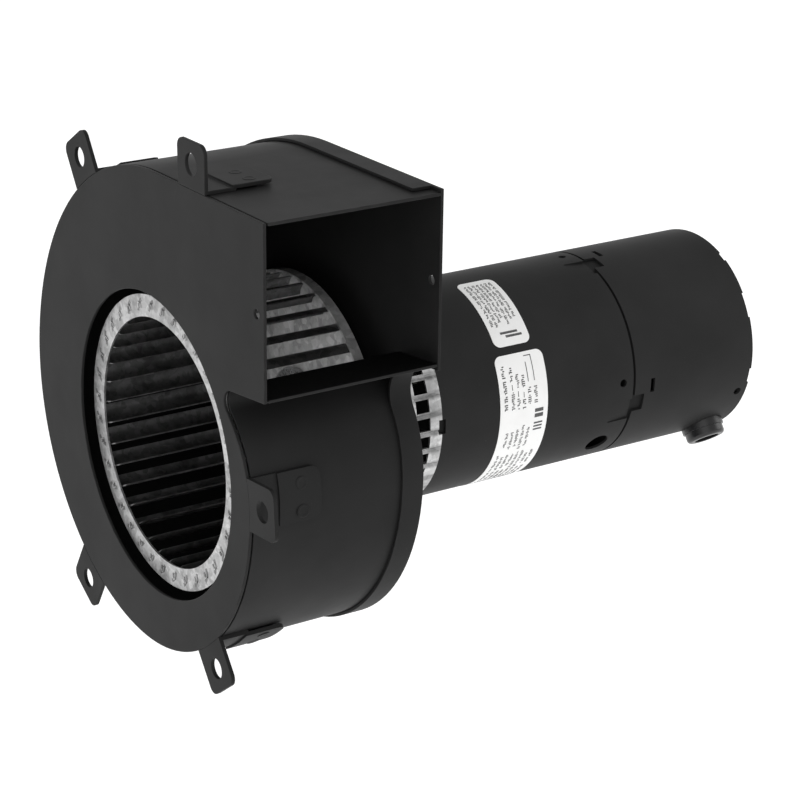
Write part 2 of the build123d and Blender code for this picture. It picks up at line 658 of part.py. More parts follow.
def motor_shell():
    tube = ring(SHELL_BORE, MOTOR_RADIUS, SHELL_FRONT, SHELL_REAR)
    tab_front = SHELL_REAR - TAB_LENGTH
    tube -= dimples(tab_front, SHELL_REAR, SHELL_BORE, MOTOR_RADIUS + PAST, 0)
    inner = SHELL_BORE - TAB_DEPTH
    tube += dimples(tab_front - TAB_MARGIN, SHELL_REAR, inner, SHELL_BORE, TAB_MARGIN)
    tube -= joint_notches()
    hole_y = SHELL_REAR - SHELL_HOLE_SETBACK
    outside = MOTOR_RADIUS + PAST
    hole = radial_rod(SHELL_HOLE_RADIUS, inner - PAST, outside, hole_y)
    tube -= around(4, hole, TAB_ANGLE + SHELL_HOLE_OFFSET)
    port = radial_rod(PORT_RADIUS, inner - PAST, outside, SHELL_REAR - PORT_SETBACK)
    return tube - turned(PORT_ANGLE, port)


def end_bracket(plate_in, plate_out, inwards):
    """Plate with a boss for the bearing; inwards is +1 or -1, towards the stator."""
    plate_from = min(plate_in, plate_out)
    plate_to = max(plate_in, plate_out)
    boss_end = plate_in + inwards * BOSS_LENGTH
    boss_from = min(plate_in, boss_end)
    boss_to = max(plate_in, boss_end)
    body = disc(SEAT_RADIUS, plate_from, plate_to) + disc(BOSS_RADIUS, boss_from, boss_to)
    body -= disc(FELT_RADIUS, boss_from, boss_to)
    body -= disc(BEARING_RADIUS, plate_from, plate_to)
    body -= bolt_holes(plate_from, plate_to)
    between = BOLT_ANGLE + 180.0 / BOLTS
    return body - on_circle(AIR_HOLES, AIR_HOLE, AIR_HOLE_CIRCLE, plate_from, plate_to, between)


def front_end_bracket():
    rim = ring(SEAT_RADIUS - END_RIM, SEAT_RADIUS, FRONT_PLATE_IN, SHELL_FRONT + END_RIM_LENGTH)
    return end_bracket(FRONT_PLATE_IN, FRONT_PLATE_OUT, 1) + rim


def rear_end_bracket():
    rim_end = COVER_FRONT + END_RIM_LENGTH
    rim = ring(SEAT_RADIUS - END_RIM, SEAT_RADIUS, REAR_PLATE_OUT, rim_end)
    body = end_bracket(REAR_PLATE_IN, REAR_PLATE_OUT, -1) + rim
    inner = SHELL_BORE - TAB_DEPTH - SHELL_FIT
    wider = TAB_MARGIN + TAB_CLEARANCE_AT_BRACKET
    return body - dimples(REAR_PLATE_IN, SHELL_REAR, inner, MOTOR_RADIUS, wider)


def oil_felts():
    front = FRONT_PLATE_IN
    rear = REAR_PLATE_IN - FELT_LENGTH
    return group([ring(BEARING_RADIUS, FELT_RADIUS, y, y + FELT_LENGTH) for y in (front, rear)])


def felt_retainers():
    front = FRONT_PLATE_IN + FELT_LENGTH
    rear = REAR_PLATE_IN - FELT_LENGTH - RETAINER
    return group([ring(BEARING_RADIUS, FELT_RADIUS, y, y + RETAINER) for y in (front, rear)])


def slot_shape(clearance):
    """A stator slot, or what lies in it."""
    depth = SLOT_END - SLOT_START - 2 * clearance
    return Pos((SLOT_START + SLOT_END) / 2, 0) * Rectangle(depth, SLOT_WIDTH - 2 * clearance)


def stator_core():
    core = ring(STATOR_BORE, SEAT_RADIUS, STACK_FRONT, STACK_REAR)
    mouth = Rectangle(TOOTH_TIP + 2 * MOUTH_LAP, SLOT_MOUTH)
    mouth = Pos((STATOR_BORE + SLOT_START) / 2, 0) * mouth
    core -= around(SLOTS, slab(slot_shape(0) + mouth, STACK_FRONT, STACK_REAR))
    return core - bolt_holes(STACK_FRONT, STACK_REAR)


def end_turns(y_from, y_to):
    coil = ring(SLOT_START + WIRE_CLEARANCE, SLOT_END - WIRE_CLEARANCE, y_from, y_to)
    most = (SLOT_END - SLOT_START) / 2 - 2 * WIRE_CLEARANCE
    return fillet(coil.edges().filter_by(GeomType.CIRCLE), min(END_TURN_FILLET, most))


def stator_windings():
    front = STACK_FRONT - END_TURN
    rear = STACK_REAR + END_TURN
    lap = END_TURN_FILLET + COIL_LAP
    coil = end_turns(front, STACK_FRONT - WIRE_CLEARANCE)
    coil += end_turns(STACK_REAR + WIRE_CLEARANCE, rear)
    in_slot = slab(slot_shape(WIRE_CLEARANCE), STACK_FRONT - lap, STACK_REAR + lap)
    return coil + around(SLOTS, in_slot)


def thermal_protector():
    """Flat switch tied to the rear end turns."""
    width, thick, tall = PROTECTOR
    middle = (SLOT_START + SLOT_END) / 2
    block = Pos(middle, STACK_REAR + END_TURN + thick / 2, 0) * Box(tall, thick, width)
    return turned(BOLT_ANGLE + 180.0 / BOLTS, fillet(block.edges().filter_by(Axis.Y), PROTECTOR_CORNER))


def through_bolts():
    end = PAN_FRONT - NUT_HEIGHT - BOLT_PAST_NUT
    rods = on_circle(BOLTS, BOLT_RADIUS, BOLT_CIRCLE, end, REAR_PLATE_OUT, BOLT_ANGLE)
    heads = hexes(REAR_PLATE_OUT, REAR_PLATE_OUT + BOLT_HEAD)
    return group([rod + head for rod, head in zip(rods, heads)])


def hexes(y_from, y_to):
    """Six-sided blocks on the bolt circle."""
    places = [radians(BOLT_ANGLE + 360.0 * i / BOLTS) for i in range(BOLTS)]
    across = NUT_FLATS / 2 / cos(radians(30))
    shapes = [Pos(BOLT_CIRCLE * cos(a), BOLT_CIRCLE * sin(a)) * RegularPolygon(across, 6) for a in places]
    return [slab(shape, y_from, y_to) for shape in shapes]


def through_bolt_nuts():
    nuts = hexes(PAN_FRONT - NUT_HEIGHT, PAN_FRONT)
    threads = on_circle(BOLTS, BOLT_RADIUS, BOLT_CIRCLE, PAN_FRONT - NUT_HEIGHT, PAN_FRONT, BOLT_ANGLE)
    return group([nut - thread for nut, thread in zip(nuts, threads)])


# ---------------------------------------------------------------------------
# Rear cover and what it holds
# ---------------------------------------------------------------------------
def cap_hole():
    y = CAP_FRONT - CAP_HOLE_SETBACK
    rod = radial_rod(CAP_HOLE_RADIUS, SEAT_RADIUS - CAP_SHEET - PAST, MOTOR_RADIUS + PAST, y)
    return turned(CAP_HOLE_ANGLE, rod)


def rear_cover():
    tube = ring(SHELL_BORE, MOTOR_RADIUS, COVER_FRONT, CAP_FRONT)
    outside = MOTOR_RADIUS + PAST
    inside = SHELL_BORE - PAST
    half = COVER_NOTCH_WIDTH / 2
    notch = slab(sector(inside, outside, -half, half), COVER_FRONT, COVER_FRONT + COVER_NOTCH_LENGTH)
    tube -= around(4, notch, TAB_ANGLE + COVER_NOTCH_OFFSET)
    half = COVER_SLOT_WIDTH / 2
    start = SHELL_REAR + COVER_SLOT_SETBACK
    slot = slab(sector(inside, outside, -half, half), start, start + COVER_SLOT_LENGTH)
    tube -= around(4, slot, TAB_ANGLE + COVER_SLOT_OFFSET)
    lead_hole = radial_rod(BUSHING_HOLE, inside, outside, COVER_END - BUSHING_SETBACK)
    return tube - turned(BUSHING_ANGLE, lead_hole) - cap_hole()


def end_cap():
    cap = disc(MOTOR_RADIUS, CAP_FRONT, COVER_END)
    cap += ring(SEAT_RADIUS - CAP_SHEET, SEAT_RADIUS, CAP_FRONT - CAP_SPIGOT, CAP_FRONT)
    cap -= cap_hole()
    for start, end in CAP_NOTCHES:
        for turn in (0, 180):
            bite = sector(MOTOR_RADIUS - CAP_NOTCH, MOTOR_RADIUS + PAST, start + turn, end + turn)
            cap -= slab(bite, CAP_FRONT, COVER_END)
    return cap


def wire_bushing():
    """Snap-in bushing: a flange on the cover, a nose with a bore, and a barb behind the wall."""
    y = COVER_END - BUSHING_SETBACK
    barrel = BUSHING_HOLE - SHELL_FIT
    top = MOTOR_RADIUS + BUSHING_HEIGHT
    flange_top = MOTOR_RADIUS + BUSHING_STEP
    body = radial_rod(BUSHING_FLANGE, SHELL_BORE, flange_top, y)
    body -= disc(MOTOR_RADIUS, y - 2 * BUSHING_FLANGE, y + 2 * BUSHING_FLANGE)
    nose = radial_rod(BUSHING_NOSE, flange_top, top, y)
    nose = fillet(nose.edges().group_by(Axis.X)[-1], BUSHING_LIP)
    tail = SHELL_BORE - BUSHING_TAIL
    body += nose + radial_rod(barrel, tail, flange_top, y)
    body += radial_rod(barrel + BUSHING_SNAP, tail, tail + BUSHING_BARB, y)
    return turned(BUSHING_ANGLE, body - radial_rod(BUSHING_BORE, tail - PAST, top, y))


def capacitor_clip():
    base = disc(CAPACITOR_RADIUS + CLIP_SHEET, REAR_PLATE_OUT, REAR_PLATE_OUT + CLIP_SHEET)
    front = REAR_PLATE_OUT + CLIP_SHEET
    wall = ring(CAPACITOR_RADIUS, CAPACITOR_RADIUS + CLIP_SHEET, front, front + CLIP_LENGTH)
    gap = Box(4 * CLIP_SHEET, CLIP_LENGTH, CLIP_SLOT)
    gap = Pos(CAPACITOR_RADIUS, front + CLIP_LENGTH / 2 + CLIP_BAND, 0) * gap
    return base + wall - [turned(angle, gap) for angle in QUARTERS]


def capacitor():
    front = REAR_PLATE_OUT + CLIP_SHEET
    rear = front + CAPACITOR_LENGTH
    can = disc(CAPACITOR_RADIUS, front, rear)
    can = fillet(can.edges().filter_by(GeomType.CIRCLE).group_by(Axis.Y)[-1], CAPACITOR_FILLET)
    width, thick, tall = TERMINAL
    for side in (-1, 1):
        middle = rear + (tall - TERMINAL_ROOT) / 2
        can += Pos(side * TERMINAL_PITCH / 2, middle, 0) * Box(thick, tall + TERMINAL_ROOT, width)
    return can


def label(place):
    """Paper skin on the shell with round corners."""
    front = SHELL_FRONT + place["setback"]
    skin = slab(sector(MOTOR_RADIUS, MOTOR_RADIUS + LABEL_SKIN, place["from"], place["to"]),
                front, front + place["length"])
    corners = []
    corner_angle = degrees(LABEL_CORNER / MOTOR_RADIUS)
    for angle, side in ((place["from"], 1), (place["to"], -1)):
        for y, way in ((front, 1), (front + place["length"], -1)):
            middle = Pos(MOTOR_RADIUS, y + way * LABEL_CORNER / 2, 0)
            square = middle * Box(2 * PAST, LABEL_CORNER, LABEL_CORNER + 2 * LABEL_SKIN)
            square = turned(angle + side * corner_angle / 2, square)
            rod = radial_rod(LABEL_CORNER, MOTOR_RADIUS - 2 * PAST, MOTOR_RADIUS + 2 * PAST,
                             y + way * LABEL_CORNER)
            corners.append(square - turned(angle + side * corner_angle, rod))
    return skin - corners


# ---------------------------------------------------------------------------
# One STEP file for each piece, or group of like pieces
# ---------------------------------------------------------------------------
def build():
    pieces = {
        "front_plate": front_plate(),
        "scroll_wrap": scroll_wrap(),
        "rear_pan": rear_pan(),
        "bracket_top": bracket(on_top(BRACKET_TOP_X)),
        "wheel_inlet_ring": wheel_inlet_ring(),
        "wheel_blades": wheel_blades(),
        "wheel_back_plate": wheel_back_plate(),
        "wheel_hub": wheel_hub(),
        "hub_rivets": hub_rivets(),
        "set_screw": set_screw(),
        "shaft": shaft(),
        "thrust_collars": thrust_collars(),
        "rotor_core": rotor_core(),
        "rotor_cage": rotor_cage(),
        "cooling_fan": cooling_fan(),
        "front_bearing": bearing(FRONT_BEARING),
        "rear_bearing": bearing(REAR_BEARING - BEARING_LENGTH),
        "vent_ring": vent_ring(),
        "motor_shell": motor_shell(),
        "front_end_bracket": front_end_bracket(),
        "rear_end_bracket": rear_end_bracket(),
        "oil_felts": oil_felts(),
        "felt_retainers": felt_retainers(),
        "stator_core": stator_core(),
        "stator_windings": stator_windings(),
        "thermal_protector": thermal_protector(),
        "through_bolts": through_bolts(),
        "through_bolt_nuts": through_bolt_nuts(),
        "rear_cover": rear_cover(),
        "end_cap": end_cap(),
        "wire_bushing": wire_bushing(),
        "capacitor_clip": capacitor_clip(),
        "capacitor": capacitor(),
        "upper_label": label(UPPER_LABEL),
        "lower_label": label(LOWER_LABEL),
    }
    for name, angle in BRACKET_ANGLES.items():
        pieces[name] = bracket(on_scroll(angle))
    return pieces


os.makedirs("parts", exist_ok=True)
for node, shape in build().items():
    export_step(shape, f"parts/{node}.step")
    print(node, len(shape.solids()), round(shape.volume, 1))
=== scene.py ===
"""Looks of the combustion fan: soft edges, procedural materials, labels, light and camera."""
import json
import random
from math import atan2, cos, degrees, pi, radians, sin

import bmesh
import bpy
from mathutils import Matrix, Vector

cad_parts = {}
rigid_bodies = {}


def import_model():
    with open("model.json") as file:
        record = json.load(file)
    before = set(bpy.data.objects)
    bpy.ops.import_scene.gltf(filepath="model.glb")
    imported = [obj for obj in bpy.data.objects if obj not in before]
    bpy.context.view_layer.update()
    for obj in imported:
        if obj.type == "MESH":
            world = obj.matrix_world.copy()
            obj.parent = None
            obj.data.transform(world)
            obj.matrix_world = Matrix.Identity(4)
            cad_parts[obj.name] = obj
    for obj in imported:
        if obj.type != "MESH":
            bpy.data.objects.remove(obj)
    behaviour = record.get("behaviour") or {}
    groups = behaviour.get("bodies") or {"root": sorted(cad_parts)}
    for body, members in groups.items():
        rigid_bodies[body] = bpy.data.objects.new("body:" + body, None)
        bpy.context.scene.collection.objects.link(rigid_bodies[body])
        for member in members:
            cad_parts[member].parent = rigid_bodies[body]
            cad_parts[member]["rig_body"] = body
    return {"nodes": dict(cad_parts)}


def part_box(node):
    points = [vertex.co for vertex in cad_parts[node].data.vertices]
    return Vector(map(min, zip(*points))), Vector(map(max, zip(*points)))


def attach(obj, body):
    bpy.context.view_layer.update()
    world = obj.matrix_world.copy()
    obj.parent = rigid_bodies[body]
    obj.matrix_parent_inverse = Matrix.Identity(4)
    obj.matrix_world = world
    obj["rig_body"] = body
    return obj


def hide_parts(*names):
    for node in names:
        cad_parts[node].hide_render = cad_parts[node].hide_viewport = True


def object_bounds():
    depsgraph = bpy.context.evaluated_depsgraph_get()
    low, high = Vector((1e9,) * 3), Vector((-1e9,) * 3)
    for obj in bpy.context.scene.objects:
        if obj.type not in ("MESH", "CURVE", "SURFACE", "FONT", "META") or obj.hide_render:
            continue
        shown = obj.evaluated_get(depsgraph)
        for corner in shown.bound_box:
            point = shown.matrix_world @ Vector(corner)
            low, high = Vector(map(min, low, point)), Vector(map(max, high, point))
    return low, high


MM = 0.001
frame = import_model()
CAD_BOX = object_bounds()
NODES = frame["nodes"]

# ---------------------------------------------------------------------------
# Names and sizes. Lengths are in metres, angles in degrees round the shaft from +X towards +Z.
# ---------------------------------------------------------------------------
SHELL_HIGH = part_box("motor_shell")[1]
MOTOR_RADIUS = SHELL_HIGH.x
LABEL_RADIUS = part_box("lower_label")[1].x
WINDOWS = 36                # round the vent ring
WINDOW_AT = 4.0             # angle of the middle of the first window
WINDOW_ANGLE = 6.9          # width of a window
BRACKETS = ("bracket_top", "bracket_right", "bracket_bottom", "bracket_lower_left",
            "bracket_upper_left")


# ---------------------------------------------------------------------------
# Node helpers
# ---------------------------------------------------------------------------
MIX_FACTOR, MIX_FIRST, MIX_SECOND, MIX_COLOUR = 0, 6, 7, 2      # a colour Mix node's sockets


def new_material(name):
    """A new material with its node tree and its shader."""
    material = bpy.data.materials.new(name)
    material.use_nodes = True
    tree = material.node_tree
    return material, tree, tree.nodes["Principled BSDF"]


def add(tree, kind, **values):
    """Add a node; values are its properties, or its inputs by number when written in_0, in_1."""
    node = tree.nodes.new("ShaderNode" + kind)
    for key, value in values.items():
        if key.startswith("in_"):
            node.inputs[int(key[3:])].default_value = value
        else:
            setattr(node, key, value)
    return node


def place(tree):
    """Place on the piece, in metres."""
    return add(tree, "TexCoord").outputs["Object"]


def noise(tree, scale, detail=4.0, roughness=0.55, stretch=None):
    """Noise over the piece, scale in features per metre, stretched along the axes where given."""
    where = place(tree)
    if stretch:
        mapping = add(tree, "Mapping")
        mapping.inputs["Scale"].default_value = stretch
        tree.links.new(where, mapping.inputs["Vector"])
        where = mapping.outputs["Vector"]
    node = add(tree, "TexNoise")
    node.inputs["Scale"].default_value = scale
    node.inputs["Detail"].default_value = detail
    node.inputs["Roughness"].default_value = roughness
    tree.links.new(where, node.inputs["Vector"])
    return node.outputs["Fac"]


def colour_noise(tree, scale):
    """Three noises over the piece at once, as a colour."""
    node = add(tree, "TexNoise")
    node.inputs["Scale"].default_value = scale
    tree.links.new(place(tree), node.inputs["Vector"])
    return node.outputs["Color"]


def ramp(tree, source, stops):
    """Colour ramp; stops are (place, grey or colour)."""
    node = add(tree, "ValToRGB")
    points = node.color_ramp.elements
    while len(points) < len(stops):
        points.new(0.5)
    for point, (spot, colour) in zip(points, stops):
        point.position = spot
        point.color = (*colour, 1) if isinstance(colour, tuple) else (colour, colour, colour, 1)
    tree.links.new(source, node.inputs["Fac"])
    return node.outputs["Color"]


def mixed(tree, factor, first, second, blend="MIX"):
    """Mix of two colours; each of the three arguments is a socket or a value."""
    node = add(tree, "Mix", data_type="RGBA", blend_type=blend)
    for number, value in ((MIX_FACTOR, factor), (MIX_FIRST, first), (MIX_SECOND, second)):
        socket = node.inputs[number]
        if isinstance(value, bpy.types.NodeSocket):
            tree.links.new(value, socket)
        else:
            socket.default_value = (*value, 1) if isinstance(value, tuple) else value
    return node.outputs[MIX_COLOUR]


def bumped(tree, shader, layers):
    """Stack bumps on the shader; layers are (height, distance in metres, strength)."""
    last = None
    for height, distance, strength in layers:
        node = add(tree, "Bump")
        node.inputs["Distance"].default_value = distance
        node.inputs["Strength"].default_value = strength
        tree.links.new(height, node.inputs["Height"])
        if last:
            tree.links.new(last, node.inputs["Normal"])
        last = node.outputs["Normal"]
    tree.links.new(last, shader.inputs["Normal"])


def to_range(tree, source, low, high):
    """The source, which runs from 0 to 1, spread from low to high."""
    node = add(tree, "MapRange")
    node.inputs["To Min"].default_value = low
    node.inputs["To Max"].default_value = high
    tree.links.new(source, node.inputs["Value"])
    return node.outputs["Result"]


# ---------------------------------------------------------------------------
# Materials
# ---------------------------------------------------------------------------
PAINT_SPECULAR = 0.09
DUST = (2.2, 2.2, 2.1)      # dust and rubbed paint, as multiples of the paint's own grey
WORN = 2.6
CRYSTAL_WARP = 4 * MM       # how far the borders of the zinc's crystals wander
RIB_SHADE_GREY = 0.62             # painted shade: the share of the zinc's grey that the vent's ribs keep


def black_paint(name, grey, sheen, wave, rubbed=0.0):
    """Satin paint on pressed sheet: fine peel, gentle unevenness, dust, and rubbed patches."""
    material, tree, shader = new_material(name)
    cloud = noise(tree, 22, 3)
    speck = ramp(tree, noise(tree, 1500, 2, 0.7), [(0.0, 0.0), (0.70, 0.0), (0.78, 1.0)])
    body = ramp(tree, cloud, [(0.3, grey * 0.82), (0.7, grey * 1.18)])
    dusty = mixed(tree, speck, body, tuple(grey * share for share in DUST))
    patches = ramp(tree, noise(tree, 170, 5, 0.7), [(0.42, 0.0), (0.68, rubbed)])
    colour = mixed(tree, patches, dusty, (grey * WORN,) * 3)
    tree.links.new(colour, shader.inputs["Base Color"])
    tree.links.new(to_range(tree, noise(tree, 60, 5), *sheen), shader.inputs["Roughness"])
    shader.inputs["Specular IOR Level"].default_value = PAINT_SPECULAR
    bumped(tree, shader, [(cloud, wave, 0.5), (noise(tree, 700, 3), 0.03 * MM, 0.35)])
    return material


def galvanised(name, dark, bright, cell, rough, shade_over=None, coat=0.9):
    """Zinc coat: flat crystals of different greys, blotches and fine grain."""
    material, tree, shader = new_material(name)
    crystals = add(tree, "TexVoronoi", feature="F1")
    crystals.inputs["Scale"].default_value = cell
    warp = mixed(tree, CRYSTAL_WARP, place(tree), colour_noise(tree, 140), "ADD")
    tree.links.new(warp, crystals.inputs["Vector"])
    shade = ramp(tree, crystals.outputs["Color"], [(0.15, dark), (0.85, bright)])
    blotch = ramp(tree, noise(tree, 90, 6, 0.65), [(0.36, 0.62), (0.56, 1.0)])
    stain = ramp(tree, noise(tree, 420, 4, 0.7), [(0.30, 0.70), (0.42, 1.0)])
    blotched = mixed(tree, 1.0, shade, blotch, "MULTIPLY")
    colour = mixed(tree, 1.0, blotched, stain, "MULTIPLY")
    if shade_over:
        colour = mixed(tree, 1.0, colour, shade_over(tree), "MULTIPLY")
    tree.links.new(colour, shader.inputs["Base Color"])
    shader.inputs["Metallic"].default_value = coat
    gloss = to_range(tree, noise(tree, 300, 5), rough - 0.1, rough + 0.14)
    tree.links.new(gloss, shader.inputs["Roughness"])
    bumped(tree, shader, [(noise(tree, 260, 4), 0.06 * MM, 0.4),
                          (noise(tree, 1600, 2), 0.02 * MM, 0.3)])
    return material


def rib_painted_shade(tree):
    """Painted shade in the pressed ribs: darker zinc, one rib to each bar between the vent's
    windows.
    """
    spot = add(tree, "SeparateXYZ")
    tree.links.new(place(tree), spot.inputs["Vector"])
    turn = add(tree, "Math", operation="ARCTAN2")
    tree.links.new(spot.outputs["Z"], turn.inputs[0])
    tree.links.new(spot.outputs["X"], turn.inputs[1])
    count = add(tree, "Math", operation="MULTIPLY_ADD", in_1=WINDOWS / (2 * pi),
                in_2=WINDOWS - WINDOW_AT * WINDOWS / 360)
    tree.links.new(turn.outputs[0], count.inputs[0])
    share = add(tree, "Math", operation="FRACT")
    tree.links.new(count.outputs[0], share.inputs[0])
    return ramp(tree, share.outputs[0],
                [(0.22, 1.0), (0.36, RIB_SHADE_GREY), (0.64, RIB_SHADE_GREY), (0.78, 1.0)])


def metal(name, colour, rough, grain, stretch=None):
    """Machined or plated metal with a fine grain."""
    material, tree, shader = new_material(name)
    pattern = noise(tree, grain, 4, 0.6, stretch)
    low = tuple(c * 0.8 for c in colour)
    high = tuple(min(1.0, c * 1.12) for c in colour)
    tree.links.new(ramp(tree, pattern, [(0.3, low), (0.7, high)]), shader.inputs["Base Color"])
    shader.inputs["Metallic"].default_value = 1.0
    tree.links.new(to_range(tree, pattern, rough - 0.08, rough + 0.1), shader.inputs["Roughness"])
    bumped(tree, shader, [(pattern, 0.04 * MM, 0.3)])
    return material


WAVE_TURN = 20              # radians of the Wave node's sine to a unit of length, at a scale of 1


def striped(name, dark, bright, pitch, direction, rough, metallic, depth):
    """Stacked sheets or wound wire: lines at a pitch in metres along an axis."""
    material, tree, shader = new_material(name)
    wave = add(tree, "TexWave", bands_direction=direction)
    wave.inputs["Scale"].default_value = 2 * pi / pitch / WAVE_TURN
    wave.inputs["Distortion"].default_value = 0.6
    wave.inputs["Detail"].default_value = 2
    tree.links.new(place(tree), wave.inputs["Vector"])
    lines = wave.outputs["Fac"]
    shade = ramp(tree, lines, [(0.1, dark), (0.8, bright)])
    tone = ramp(tree, noise(tree, 120, 4), [(0.3, 0.8), (0.7, 1.0)])
    tree.links.new(mixed(tree, 1.0, shade, tone, "MULTIPLY"), shader.inputs["Base Color"])
    shader.inputs["Metallic"].default_value = metallic
    tree.links.new(to_range(tree, tone, rough + 0.1, rough), shader.inputs["Roughness"])
    bumped(tree, shader, [(lines, depth, 0.6)])
    return material


def moulded(name, colour, rough, grain):
    """Moulded plastic with a fine spark-eroded grain."""
    material, tree, shader = new_material(name)
    tone = noise(tree, 90, 3)
    low = tuple(c * 0.85 for c in colour)
    high = tuple(c * 1.15 for c in colour)
    tree.links.new(ramp(tree, tone, [(0.3, low), (0.7, high)]), shader.inputs["Base Color"])
    tree.links.new(to_range(tree, tone, rough - 0.05, rough + 0.08), shader.inputs["Roughness"])
    bumped(tree, shader, [(noise(tree, grain, 3), 0.04 * MM, 0.35)])
    return material


def felt(name, colour):
    """Soft felt with short fibres."""
    material, tree, shader = new_material(name)
    fibre = noise(tree, 900, 6, 0.8, (1, 3, 1))
    low = tuple(c * 0.7 for c in colour)
    tree.links.new(ramp(tree, fibre, [(0.3, low), (0.7, colour)]), shader.inputs["Base Color"])
    tree.links.new(to_range(tree, fibre, 0.85, 1.0), shader.inputs["Roughness"])
    shader.inputs["Sheen Weight"].default_value = 0.4
    bumped(tree, shader, [(fibre, 0.4 * MM, 0.7)])
    return material


def label_film(name):
    """White film with a slight crinkle and yellowing."""
    material, tree, shader = new_material(name)
    tone = noise(tree, 70, 4)
    paper = ramp(tree, tone, [(0.3, (0.88, 0.88, 0.87)), (0.7, (0.95, 0.95, 0.945))])
    tree.links.new(paper, shader.inputs["Base Color"])
    tree.links.new(to_range(tree, noise(tree, 500, 3), 0.38, 0.52), shader.inputs["Roughness"])
    bumped(tree, shader, [(tone, 0.1 * MM, 0.25)])
    return material


def label_ink(name):
    """Dark print, a little uneven."""
    material, tree, shader = new_material(name)
    tone = noise(tree, 2500, 3)
    tree.links.new(ramp(tree, tone, [(0.3, 0.03), (0.75, 0.14)]), shader.inputs["Base Color"])
    tree.links.new(to_range(tree, tone, 0.5, 0.65), shader.inputs["Roughness"])
    return material


HOUSING_GREY = 0.0175
MOTOR_GREY = 0.0205
SATIN = (0.46, 0.58)        # range of a paint's roughness
SATIN_EDGE = (0.40, 0.52)
EDGE_WEAR = 0.45

PAINT = black_paint("paint_housing", HOUSING_GREY, SATIN, 0.6 * MM)
# painted shade: a darker copy of the black paint for the end brackets inside the motor
PAINT_INSIDE_SHADED = black_paint("paint_inside_painted_shade", 0.011, (0.50, 0.62), 0.4 * MM)
PAINT_MOTOR = black_paint("paint_motor", MOTOR_GREY, SATIN, 0.2 * MM)
# Paint of the rounded edges, by the paint of the faces. Other finishes run on over their edges.
RUBBED = {
    "paint_housing": black_paint("paint_housing_edge", HOUSING_GREY, SATIN_EDGE, 0.2 * MM,
                                 EDGE_WEAR),
    "paint_motor": black_paint("paint_motor_edge", MOTOR_GREY, SATIN_EDGE, 0.2 * MM, EDGE_WEAR),
}
ZINC = galvanised("zinc_wheel", 0.41, 0.60, 480, 0.42)
# the vent ring's zinc, with painted shade in its pressed ribs
ZINC_VENT = galvanised("zinc_vent", 0.52, 0.72, 380, 0.44, rib_painted_shade)
# painted shade: the blades take a far darker zinc than the rings of the same wheel, which replaces
# the shade inside the wheel
ZINC_BLADES_SHADED = galvanised("zinc_blades_painted_shade", 0.17, 0.27, 420, 0.40)
ZINC_BACK = galvanised("zinc_back_plate", 0.34, 0.58, 330, 0.45, coat=0.35)
# painted shade: near-black paint on the outlet's floor inside, which replaces the shade there
PAINT_FLOOR_SHADE = black_paint("painted_shade_outlet_floor", 0.005, (0.55, 0.68), 0.4 * MM)
# painted shade: dark zinc for the sheets inside the blades' arches
ZINC_SHADE = galvanised("zinc_shade", 0.10, 0.18, 420, 0.45)
STEEL = metal("turned_steel", (0.55, 0.55, 0.56), 0.28, 900, stretch=(1, 0.15, 1))
PLATED = metal("plated_steel", (0.62, 0.61, 0.56), 0.34, 500)
CAST = metal("cast_aluminium", (0.66, 0.67, 0.68), 0.46, 350)
BRONZE = metal("sintered_bronze", (0.50, 0.33, 0.17), 0.42, 1100)
LAMINATIONS = striped("laminations", 0.16, 0.42, 0.9 * MM, "Y", 0.42, 0.9, 0.2 * MM)
WINDINGS = striped("windings", (0.20, 0.07, 0.02), (0.62, 0.26, 0.10), 1.1 * MM, "DIAGONAL",
                   0.3, 0.6, 0.5 * MM)
PLASTIC = moulded("black_plastic", (0.009, 0.009, 0.0095), 0.30, 1200)
FELT = felt("oiled_felt", (0.62, 0.58, 0.46))
FILM = label_film("label_film")
INK = label_ink("label_ink")

FINISHES = {
    "front_plate": PAINT, "scroll_wrap": PAINT, "rear_pan": PAINT,
    **dict.fromkeys(BRACKETS, PAINT),
    "motor_shell": PAINT_MOTOR, "rear_cover": PAINT_MOTOR, "end_cap": PAINT_MOTOR,
    "front_end_bracket": PAINT_INSIDE_SHADED, "rear_end_bracket": PAINT_INSIDE_SHADED,
    "vent_ring": ZINC_VENT, "wheel_blades": ZINC_BLADES_SHADED,
    "wheel_inlet_ring": ZINC, "wheel_back_plate": ZINC_BACK,
    "wheel_hub": STEEL, "hub_rivets": STEEL, "set_screw": PLATED,
    "shaft": STEEL, "thrust_collars": STEEL,
    "rotor_core": LAMINATIONS, "rotor_cage": CAST,
    "stator_core": LAMINATIONS, "stator_windings": WINDINGS, "thermal_protector": PLASTIC,
    "front_bearing": BRONZE, "rear_bearing": BRONZE,
    "oil_felts": FELT, "felt_retainers": PLATED,
    "through_bolts": PLATED, "through_bolt_nuts": PLATED,
    "capacitor_clip": PLATED, "capacitor": CAST,
    "cooling_fan": PLASTIC, "wire_bushing": PLASTIC,
    "upper_label": FILM, "lower_label": FILM,
}


# ---------------------------------------------------------------------------
# Pieces
# ---------------------------------------------------------------------------
def give(piece, *materials):
    """Set a piece's material slots, and put the first of them on every face."""
    piece.data.materials.clear()
    for material in materials:
        piece.data.materials.append(material)
    for face in piece.data.polygons:
        face.material_index = 0


def linked(name, data):
    """A new object in the scene."""
    thing = bpy.data.objects.new(name, data)
    bpy.context.scene.collection.objects.link(thing)
    return thing


def made(name, shape, material):
    """A new piece from a bmesh, all in one material."""
    bmesh.ops.recalc_face_normals(shape, faces=shape.faces)
    mesh = bpy.data.meshes.new(name)
    shape.to_mesh(mesh)
    shape.free()
    piece = linked(name, mesh)
    give(piece, material)
    return piece


